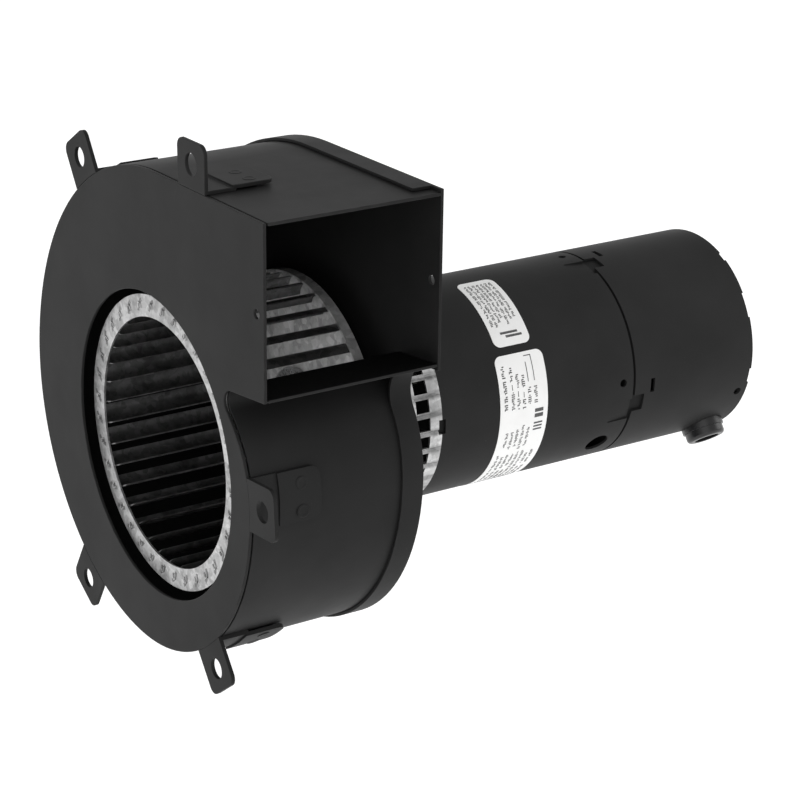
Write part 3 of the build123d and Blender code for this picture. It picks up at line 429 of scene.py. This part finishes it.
def skin(shape, rows):
    """Faces from each closed row of vertices to the next, and over both ends."""
    for one, two in zip(rows, rows[1:]):
        for i in range(len(one)):
            after = (i + 1) % len(one)
            shape.faces.new((one[i], one[after], two[after], two[i]))
    shape.faces.new(rows[0][::-1])
    shape.faces.new(rows[-1])


# ---------------------------------------------------------------------------
# Places round the shaft's axis
# ---------------------------------------------------------------------------
NO_LENGTH = 1e-9


def angle_of(point):
    return degrees(atan2(point.z, point.x))


def angle_off(point, first, pitch):
    """Angle from the point to the nearest of the places that start at first and repeat at pitch."""
    return (angle_of(point) - first + pitch / 2) % pitch - pitch / 2


def reach_of(point):
    return Vector((point.x, point.z)).length


def radial(point):
    """Direction straight out from the axis, or next to nothing for a point on it."""
    out = Vector((point.x, 0, point.z))
    return out.normalized() if out.length > NO_LENGTH else out


# ---------------------------------------------------------------------------
# Copies that stand for CAD pieces, with soft edges
# ---------------------------------------------------------------------------
ROUND_SLOT = 1              # material slot of the rounded strips
FLOOR_SHADE_SLOT = 2              # material slot of the painted shade on the outlet's floor
ROUND_FROM = 28             # edges sharper than this angle are rounded
ROUND_SEGMENTS = 2
SMOOTH_COSINE = cos(radians(24))    # faces that turn less than this angle shade as one
TURNED_COSINE = 0.99        # a turned piece's normals this near to straight out are set to it
MERGE_WITHIN = 0.004 * MM
FLAT_WITHIN = radians(0.3)
NO_AREA = 1e-12


def tuned_shape(node, tune):
    """A mesh copy of a CAD piece, cleaned up and then changed by the function given."""
    mesh = NODES[node].data.copy()
    shape = bmesh.new()
    shape.from_mesh(mesh)
    bmesh.ops.remove_doubles(shape, verts=shape.verts, dist=MERGE_WITHIN)
    bmesh.ops.dissolve_limit(shape, angle_limit=FLAT_WITHIN, verts=shape.verts, edges=shape.edges)
    if tune:
        tune(shape)
    shape.to_mesh(mesh)
    shape.free()
    if mesh.has_custom_normals:
        mesh.attributes.remove(mesh.attributes["custom_normal"])
    return mesh


def rounded(piece, width):
    """Round the piece's sharp edges, and put the strips in their own material slot."""
    bevel = piece.modifiers.new("round", "BEVEL")
    bevel.width = width
    bevel.segments = ROUND_SEGMENTS
    bevel.limit_method = "ANGLE"
    bevel.angle_limit = radians(ROUND_FROM)
    bevel.material = ROUND_SLOT
    bevel.loop_slide = False
    graph = bpy.context.evaluated_depsgraph_get()
    mesh = bpy.data.meshes.new_from_object(piece.evaluated_get(graph))
    piece.modifiers.clear()
    piece.data = mesh


def true_normals(mesh, turned):
    """Shade flat faces flat, curved ones smoothly, and blend the rounded strips between them."""
    mesh.shade_smooth()
    faces = mesh.polygons
    plain = [face.material_index != ROUND_SLOT for face in faces]
    around_vertex = [[] for _ in mesh.vertices]
    for face in faces:
        for vertex in face.vertices:
            around_vertex[vertex].append(face.index)
    normals = []
    for face in faces:
        own = face.normal.copy()
        for vertex in face.vertices:
            facing = {i: faces[i].normal.dot(own) for i in around_vertex[vertex]}
            near = [i for i in facing if plain[i]]
            if plain[face.index]:
                near = [i for i in near if facing[i] > SMOOTH_COSINE]
            else:
                near = [max(near, key=facing.get)] if near else list(facing)
            total = sum((faces[i].normal * faces[i].area for i in near), Vector())
            normal = total.normalized() if total.length > NO_AREA else own
            out = radial(mesh.vertices[vertex].co)
            if turned and abs(normal.dot(out)) > TURNED_COSINE:
                normal = out if normal.dot(out) > 0 else -out
            normals.append(normal)
    mesh.normals_split_custom_set(normals)


def softened(node, width, turned=False, tune=None):
    """A copy that stands for a CAD piece, with its sharp edges rounded where a width is given."""
    piece = linked(node + "_formed", tuned_shape(node, tune))
    finish = FINISHES[node]
    give(piece, finish, RUBBED.get(finish.name, finish))
    if width:
        rounded(piece, width)
    true_normals(piece.data, turned)
    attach(piece, NODES[node]["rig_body"])
    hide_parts(node)
    return piece


# ---------------------------------------------------------------------------
# Details pressed or cut into the copies
# ---------------------------------------------------------------------------
RIB_DEPTH = 0.7 * MM        # the bars between the vent's windows are pressed in by this much
RIB_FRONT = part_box("vent_ring")[0].y + 17 * MM
RIB_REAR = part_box("vent_ring")[1].y - 0.6 * MM
RIB_END = 1 * MM            # a rib rises to its full depth over this length
RIB_BAND = 3 * MM           # width of the band behind the windows
RIB_WALL = 1.5 * MM         # only what lies this near to the vent's outside is pressed
RIB_CUTS = (-0.5, -0.36, -0.18, 0, 0.18, 0.36, 0.5)     # across a bar, in shares of its width
TAB_ANGLE = 75.0            # first of four tabs pressed into the shell's rear edge
TAB_PITCH = 90
TAB_HALF = 9.0
TAB_RISE = 0.75 * MM        # a tab slopes; its front edge is this much higher than its rear one
TAB_FLOOR = MOTOR_RADIUS - 1 * MM   # reach of the CAD's flat tab floors
TAB_FLOOR_WITHIN = 0.1 * MM
TAB_FRONT_FROM = SHELL_HIGH.y - 10.5 * MM
TAB_FRONT_TO = SHELL_HIGH.y - 5 * MM
COVER_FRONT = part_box("rear_cover")[0].y
PARTING_GAP = 0.55 * MM     # between the motor's shell and the rear cover
PLATE_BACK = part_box("front_plate")[1].y
SEAM_GAP = 0.6 * MM         # between the front plate and the scroll's wrap
EDGE_WITHIN = 0.05 * MM
OUTLET_FLOOR_FROM = 40 * MM     # the outlet's floor lies beyond this in X and below this in Z
OUTLET_FLOOR_UNDER = 60 * MM
FACING_UP = 0.9             # least upward part of the normal of a floor's face
CUT_WITHIN = 1e-7


def cut(shape, spot, across):
    """Split the faces along a plane through the spot, square to the direction across."""
    parts = shape.verts[:] + shape.edges[:] + shape.faces[:]
    bmesh.ops.bisect_plane(shape, geom=parts, plane_co=spot, plane_no=across, dist=CUT_WITHIN)


def press_ribs(shape):
    """Press the bars between the windows, and the band behind them, into shallow ribs."""
    pitch = 360 / WINDOWS
    bar = pitch - WINDOW_ANGLE
    first = WINDOW_AT + pitch / 2
    for y in (RIB_FRONT, RIB_FRONT + RIB_END, RIB_REAR - RIB_BAND, RIB_REAR - RIB_END):
        cut(shape, (0, y, 0), (0, 1, 0))
    for i in range(WINDOWS // 2):       # a cut through the axis serves the far side too
        for share in RIB_CUTS:
            turn = radians(first + pitch * i + bar * share)
            cut(shape, (0, 0, 0), (-sin(turn), 0, cos(turn)))
    wall = MOTOR_RADIUS - RIB_WALL
    for vertex in shape.verts:
        point = vertex.co
        if reach_of(point) < wall or not RIB_FRONT < point.y < RIB_REAR:
            continue
        off = angle_off(point, first, pitch)
        if abs(off) < bar / 2:
            ends = min((point.y - RIB_FRONT) / RIB_END, (RIB_REAR - point.y) / RIB_END, 1)
            vertex.co -= radial(point) * RIB_DEPTH * ends * cos(pi * off / bar) ** 2


def slope_tabs(shape):
    """Lift the front edge of each tab's floor, so that the tab slopes into the shell."""
    for vertex in shape.verts:
        point = vertex.co
        on_floor = abs(reach_of(point) - TAB_FLOOR) < TAB_FLOOR_WITHIN
        in_tab = abs(angle_off(point, TAB_ANGLE, TAB_PITCH)) < TAB_HALF
        if on_floor and in_tab and TAB_FRONT_FROM < point.y < TAB_FRONT_TO:
            vertex.co += radial(point) * TAB_RISE


def cut_back(edge, gap):
    """A change that moves the front edge of a piece back, so that the joint reads as a dark gap."""
    def tune(shape):
        for vertex in shape.verts:
            if abs(vertex.co.y - edge) < EDGE_WITHIN:
                vertex.co.y += gap
    return tune


def paint_floor_shade(piece):
    """Paint shade onto the outlet's floor, inside: near-black paint where the light hardly reaches.
    """
    piece.data.materials.append(PAINT_FLOOR_SHADE)
    for face in piece.data.polygons:
        spot = face.center
        if (face.normal.z > FACING_UP and spot.x > OUTLET_FLOOR_FROM
                and 0 < spot.z < OUTLET_FLOOR_UNDER):
            face.material_index = FLOOR_SHADE_SLOT


# Width of the rounding in mm, whether the piece is turned, and the change made to its copy.
EDGES = {
    "front_plate": (0.55, False, None),
    "scroll_wrap": (0.35, False, cut_back(PLATE_BACK, SEAM_GAP)),
    "rear_pan": (0.5, False, None),
    **dict.fromkeys(BRACKETS, (0.4, False, None)),
    "wheel_inlet_ring": (0.25, False, None),
    "wheel_back_plate": (0.25, False, None),
    "rear_cover": (0.22, True, cut_back(COVER_FRONT, PARTING_GAP)),
    "end_cap": (0.4, True, None),
    "wire_bushing": (0.5, False, None),
    "vent_ring": (0.12, False, press_ribs),
    "motor_shell": (0.22, True, slope_tabs),
}

for name, node in NODES.items():
    give(node, FINISHES[name])
for name, (width, turned, tune) in EDGES.items():
    formed = softened(name, width * MM, turned, tune)
    if name == "scroll_wrap":
        paint_floor_shade(formed)


# ---------------------------------------------------------------------------
# Spot welds on the bracket feet
# ---------------------------------------------------------------------------
WELD_RINGS = ((2.6, -0.25), (2.35, 0.10), (1.8, 0.14), (1.35, 0.02))    # radius and height, in mm
WELD_STEPS = 24
WELD_AT = 20.25 * MM        # from the front plate's face
FOOT_FROM = 14 * MM         # a bracket's foot lies behind this
END_WITHIN = 0.1 * MM       # depth of the slices that find the ends of a bracket


def middle_of(points):
    return sum(points, Vector()) / len(points)


def weld(shape, spot, out, side):
    """A low ring with a shallow dimple, squeezed up by the welding tip."""
    rows = []
    for reach, height in WELD_RINGS:
        row = []
        for step in range(WELD_STEPS):
            turn = 2 * pi * step / WELD_STEPS
            flat = side * cos(turn) + Vector((0, sin(turn), 0))
            row.append(shape.verts.new(spot + flat * reach * MM + out * height * MM))
        rows.append(row)
    skin(shape, rows)


def welds():
    """Two welds on each bracket's foot, either side of its middle."""
    shape = bmesh.new()
    for name in BRACKETS:
        points = [vertex.co for vertex in NODES[name].data.vertices]
        rear = max(point.y for point in points)
        foot = middle_of([point for point in points if point.y > rear - END_WITHIN])
        leg = middle_of([point for point in points if point.y < END_WITHIN])
        out = Vector((leg.x - foot.x, 0, leg.z - foot.z)).normalized()
        side = out.cross(Vector((0, 1, 0)))
        low = min((point - foot).dot(side) for point in points)
        high = max((point - foot).dot(side) for point in points)
        width = high - low
        for way in (-1, 1):
            across = foot + side * way * width / 4
            face = max((point - foot).dot(out) for point in points
                       if point.y > FOOT_FROM and abs((point - across).dot(side)) < width / 5)
            weld(shape, Vector((across.x, WELD_AT, across.z)) + out * face, out, side)
    piece = made("weld_marks", shape, PAINT)
    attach(piece, "housing")


welds()


# ---------------------------------------------------------------------------
# Crimped ends of the blades, proud of the wheel's inlet ring
# ---------------------------------------------------------------------------
BLADES = 36
RING_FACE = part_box("wheel_inlet_ring")[0].y
CRIMP_FLAT = 0.02 * MM      # the CAD's plain crimps are pressed down to this height
ARCH_HALF = 0.85 * MM       # half the width of an arch, between the middles of its legs
ARCH_LEG = 1.5 * MM
ARCH_STEPS = 6
ARCH_THICK = 0.6 * MM
ARCH_HEIGHT = 0.42 * MM
HOLLOW_HEIGHT = 0.06 * MM   # the dark sheet of painted shade inside an arch
# Across an arch: place in shares of its thickness, and height over the ring's face.
ARCH_SECTION = ((-0.5, -CRIMP_FLAT), (-0.26, ARCH_HEIGHT), (0.26, ARCH_HEIGHT), (0.5, -CRIMP_FLAT))
# Round the sheet of painted shade inside an arch: outward and sideways.
HOLLOW_OUTLINE = ((-ARCH_LEG, -ARCH_HALF), (0, -ARCH_HALF), (ARCH_HALF, 0), (0, ARCH_HALF),
                  (-ARCH_LEG, ARCH_HALF))


def flatten_crimps(shape):
    """Press the CAD's plain crimps down, since the arches take their place."""
    for vertex in shape.verts:
        if vertex.co.y < RING_FACE - CRIMP_FLAT:
            vertex.co.y = RING_FACE - CRIMP_FLAT


def crimp_places():
    """Angle of the first crimp in radians and the radius of them all, from the CAD's plain ones."""
    points = [v.co for v in NODES["wheel_blades"].data.vertices if v.co.y < RING_FACE - CRIMP_FLAT]
    turns = [atan2(point.z, point.x) * BLADES for point in points]
    first = atan2(sum(map(sin, turns)), sum(map(cos, turns))) / BLADES
    return first, sum(reach_of(point) for point in points) / len(points)


def arch_path():
    """Middle line of an arch as (outward, sideways), open towards the shaft."""
    path = [(-ARCH_LEG, -ARCH_HALF)]
    for step in range(ARCH_STEPS + 1):
        turn = pi * step / ARCH_STEPS
        path.append((ARCH_HALF * sin(turn), -ARCH_HALF * cos(turn)))
    path.append((-ARCH_LEG, ARCH_HALF))
    return [Vector(point) for point in path]


def crimp(arches, hollows, turn, radius):
    """One arch, and the thin dark sheet of painted shade inside it."""
    out = Vector((cos(turn), 0, sin(turn)))
    side = Vector((-sin(turn), 0, cos(turn)))

    def spot(outward, sideways, height):
        on_face = Vector((0, RING_FACE, 0)) + out * (radius + outward) + side * sideways
        return on_face - Vector((0, height, 0))

    path = arch_path()
    rows = []
    for i, point in enumerate(path):
        along = (path[min(i + 1, len(path) - 1)] - path[max(i - 1, 0)]).normalized()
        across = Vector((along.y, -along.x))
        row = []
        for share, height in ARCH_SECTION:
            flat = point + across * share * ARCH_THICK
            row.append(arches.verts.new(spot(flat.x, flat.y, height)))
        rows.append(row)
    skin(arches, rows)
    skin(hollows, [[hollows.verts.new(spot(outward, sideways, height))
                    for outward, sideways in HOLLOW_OUTLINE]
                   for height in (-CRIMP_FLAT, HOLLOW_HEIGHT)])


def crimps():
    """An arch for each blade, as one piece, and the sheets of painted shade inside them as another.
    """
    first, radius = crimp_places()
    arches, hollows = bmesh.new(), bmesh.new()
    for index in range(BLADES):
        crimp(arches, hollows, first + 2 * pi * index / BLADES, radius)
    for name, shape, material in (("blade_crimps", arches, ZINC),
                                  ("blade_crimp_painted_shade", hollows, ZINC_SHADE)):
        piece = made(name, shape, material)
        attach(piece, "rotor")


softened("wheel_blades", 0, tune=flatten_crimps)
crimps()


# ---------------------------------------------------------------------------
# Printed marks on the labels
# ---------------------------------------------------------------------------
INK_LIFT = 0.015 * MM
INK_HEIGHT = 0.03 * MM
INK_STEP = 3                # longer marks bend once in this many degrees
LABEL_SEED = 11
PLAIN = 1.5 * MM            # height of plain print, and of fine print
FINE = 1.25 * MM
LETTER = 0.8 * MM           # letter pitch of plain print
LETTER_FINE = 0.66 * MM
LETTER_SHARE = 0.55         # how much of its pitch a letter takes
SPACE_SHARE = 0.9           # gap between words, in letter pitches
TAIL_CHANCE = 0.45          # how often a letter has a tail
TAIL_SHARE = 0.2            # thickness of a tail, in heights of a letter


def mark(shape, y_from, y_to, angle_from, angle_to):
    """A thin raised block that follows the label's curve."""
    steps = max(1, round(abs(angle_to - angle_from) / INK_STEP))
    rows = []
    for step in range(steps + 1):
        turn = radians(angle_from + (angle_to - angle_from) * step / steps)
        row = []
        for y, reach in ((y_from, 0), (y_to, 0), (y_to, INK_HEIGHT), (y_from, INK_HEIGHT)):
            radius = LABEL_RADIUS + INK_LIFT + reach
            row.append(shape.verts.new((radius * cos(turn), y, radius * sin(turn))))
        rows.append(row)
    skin(shape, rows)


def words(shape, rng, y, height, angle_from, angle_to, letter):
    """A line of ticks grouped like words, running down the label from one angle to the next."""
    step = degrees(letter / LABEL_RADIUS)
    angle = angle_from
    left = 0
    while angle - step > angle_to:
        if left == 0:
            left = rng.randint(3, 9)
            angle -= step * SPACE_SHARE
            continue
        low = y + height * rng.choice((0, 0, 0.25, 0.4))
        high = y + height * rng.choice((0.7, 1, 1))
        tick_end = angle - step * LETTER_SHARE
        mark(shape, low, high, angle, tick_end)
        if rng.random() < TAIL_CHANCE:
            mark(shape, low, low + height * TAIL_SHARE, tick_end, angle - step)
        angle -= step
        left -= 1


def label_marks(name, build):
    """Marks for a label: one mesh, carried by the housing."""
    shape = bmesh.new()
    build(shape, random.Random(LABEL_SEED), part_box(name)[0].y)
    piece = made(name + "_marks", shape, INK)
    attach(piece, "housing")


# In the two layouts, front is the label's front edge, lines are set back from it in mm, and they
# run down the label between angles.
def upper_marks(shape, rng, front):
    """Seven lines of fine print over two heavy bars."""
    for line in range(7):
        y = front + (2.1 + 1.9 * line) * MM
        words(shape, rng, y, FINE, 79, 50 - rng.randint(0, 4), LETTER_FINE)
    mark(shape, front + 4.5 * MM, front + 12.5 * MM, 43.5, 42.2)
    mark(shape, front + 6.5 * MM, front + 14.0 * MM, 41.4, 40.1)


def lower_marks(shape, rng, front):
    """A heading, three broken lines, two drawn lines, heavy bars, and blocks of fine print."""
    words(shape, rng, front + 2.0 * MM, PLAIN, 26.5, 0, 0.85 * MM)
    for line, start in enumerate((25, 21, 20)):
        y = front + (5.4 + 2.6 * line) * MM
        words(shape, rng, y, PLAIN, start, start - 9, LETTER)
        mark(shape, y + 0.5 * MM, y + 0.8 * MM, start - 10, start - 13)
        words(shape, rng, y, PLAIN, start - 13, 0, LETTER)
    for line in range(2):
        y = front + (13.6 + 2.9 * line) * MM
        mark(shape, y, y + 0.35 * MM, 25.5 + 3 * line, 15)
        words(shape, rng, y - 0.4 * MM, PLAIN, 13, 1.5, LETTER)
    mark(shape, front + 13.6 * MM, front + 16.85 * MM, 29.0, 28.5)
    for angle, half in ((-1.6, 1.0), (-4.6, 1.1), (-9.0, 0.5), (-11.0, 0.5), (-13.0, 0.5)):
        mark(shape, front + 16.4 * MM, front + 20.4 * MM, angle + half, angle - half)
    for line in range(5):
        y = front + (3.4 + 2.5 * line) * MM
        words(shape, rng, y, FINE, -8 - rng.randint(0, 3), -22 - rng.randint(0, 3), 0.7 * MM)
    for line in range(8):
        y = front + (2.2 + 2.35 * line) * MM
        words(shape, rng, y, FINE, -26 - rng.randint(0, 3), -39 - rng.randint(0, 3), LETTER_FINE)
        words(shape, rng, y, FINE, -42, -70, 0.6 * MM)


label_marks("upper_label", upper_marks)
label_marks("lower_label", lower_marks)


# ---------------------------------------------------------------------------
# Stage, light and camera
# ---------------------------------------------------------------------------
FLOOR_SIZE = 12
FLOOR_DROP = 0.16           # from the lowest point of the fan down to the floor
FLOOR_GREY = 0.9
FLOOR_GLOW = 0.45           # the floor's own light, which keeps it white under the object
SKY_OVERHEAD = 0.6          # brightness of the studio's ceiling, where its walls are 1
LIGHT_TARGET = (0, 0.1, 0)
# Place, width and height, and power in watts.
LIGHTS = {
    "key": ((-0.9, -1.7, 0.7), (1.2, 1.2), 4.5),
    "fill": ((1.5, -0.8, 1.1), (1.6, 1.6), 5),
    "back": ((0.3, 2.0, 0.9), (1.6, 1.0), 8),
}


def floor():
    drop = CAD_BOX[0][2] - FLOOR_DROP
    bpy.ops.mesh.primitive_plane_add(size=FLOOR_SIZE, location=(0, 0, drop))
    plane = bpy.context.object
    plane.name = "floor"
    material, tree, shader = new_material("floor_white")
    shader.inputs["Base Color"].default_value = (FLOOR_GREY, FLOOR_GREY, FLOOR_GREY, 1)
    shader.inputs["Roughness"].default_value = 0.9
    shader.inputs["Emission Color"].default_value = (1, 1, 1, 1)
    shader.inputs["Emission Strength"].default_value = FLOOR_GLOW
    give(plane, material)


def sky():
    """Studio walls that are brighter than the ceiling."""
    world = bpy.data.worlds.new("studio")
    bpy.context.scene.world = world
    world.use_nodes = True
    tree = world.node_tree
    height = add(tree, "SeparateXYZ")
    tree.links.new(add(tree, "TexCoord").outputs["Generated"], height.inputs["Vector"])
    shade = ramp(tree, height.outputs["Z"],
                 [(0.0, 1.0), (0.12, 1.0), (0.45, SKY_OVERHEAD), (1.0, SKY_OVERHEAD)])
    tree.links.new(shade, tree.nodes["Background"].inputs["Color"])


def area_light(name, where, size, power):
    """A soft rectangular light, turned towards the fan."""
    data = bpy.data.lights.new(name, "AREA")
    data.shape = "RECTANGLE"
    data.size, data.size_y = size
    data.energy = power
    lamp = linked(name, data)
    lamp.location = where
    aim = Vector(LIGHT_TARGET) - Vector(where)
    lamp.rotation_euler = aim.to_track_quat("-Z", "Y").to_euler()


CAMERA_AZIMUTH = 56.63      # round from the front, towards the outlet
CAMERA_ELEVATION = 21.24
CAMERA_ROLL = 0.84
CAMERA_DISTANCE = 0.9359    # from the middle of the inlet's plane, along the line of sight
CAMERA_SIDE = 0.09188       # how far the view is shifted to its right, square to the line of sight
CAMERA_RISE = 0.0169        # how far it is shifted up
CAMERA_LENS = 113.5


def camera():
    """Camera in front and to the right, a little above, with the line of sight past the inlet."""
    turn, tilt, roll = radians(CAMERA_AZIMUTH), radians(CAMERA_ELEVATION), radians(CAMERA_ROLL)
    back = Vector((sin(turn) * cos(tilt), -cos(turn) * cos(tilt), sin(tilt)))
    right = Vector((cos(turn), sin(turn), 0))
    up = back.cross(right)
    right, up = right * cos(roll) + up * sin(roll), up * cos(roll) - right * sin(roll)
    data = bpy.data.cameras.new("camera")
    data.lens = CAMERA_LENS
    eye = linked("camera", data)
    spot = right * CAMERA_SIDE + up * CAMERA_RISE + back * CAMERA_DISTANCE
    eye.matrix_world = Matrix.Translation(spot) @ Matrix((right, up, back)).transposed().to_4x4()
    bpy.context.scene.camera = eye


floor()
sky()
for name, (where, size, power) in LIGHTS.items():
    area_light(name, where, size, power)
camera()
bpy.context.scene.view_settings.view_transform = "Standard"
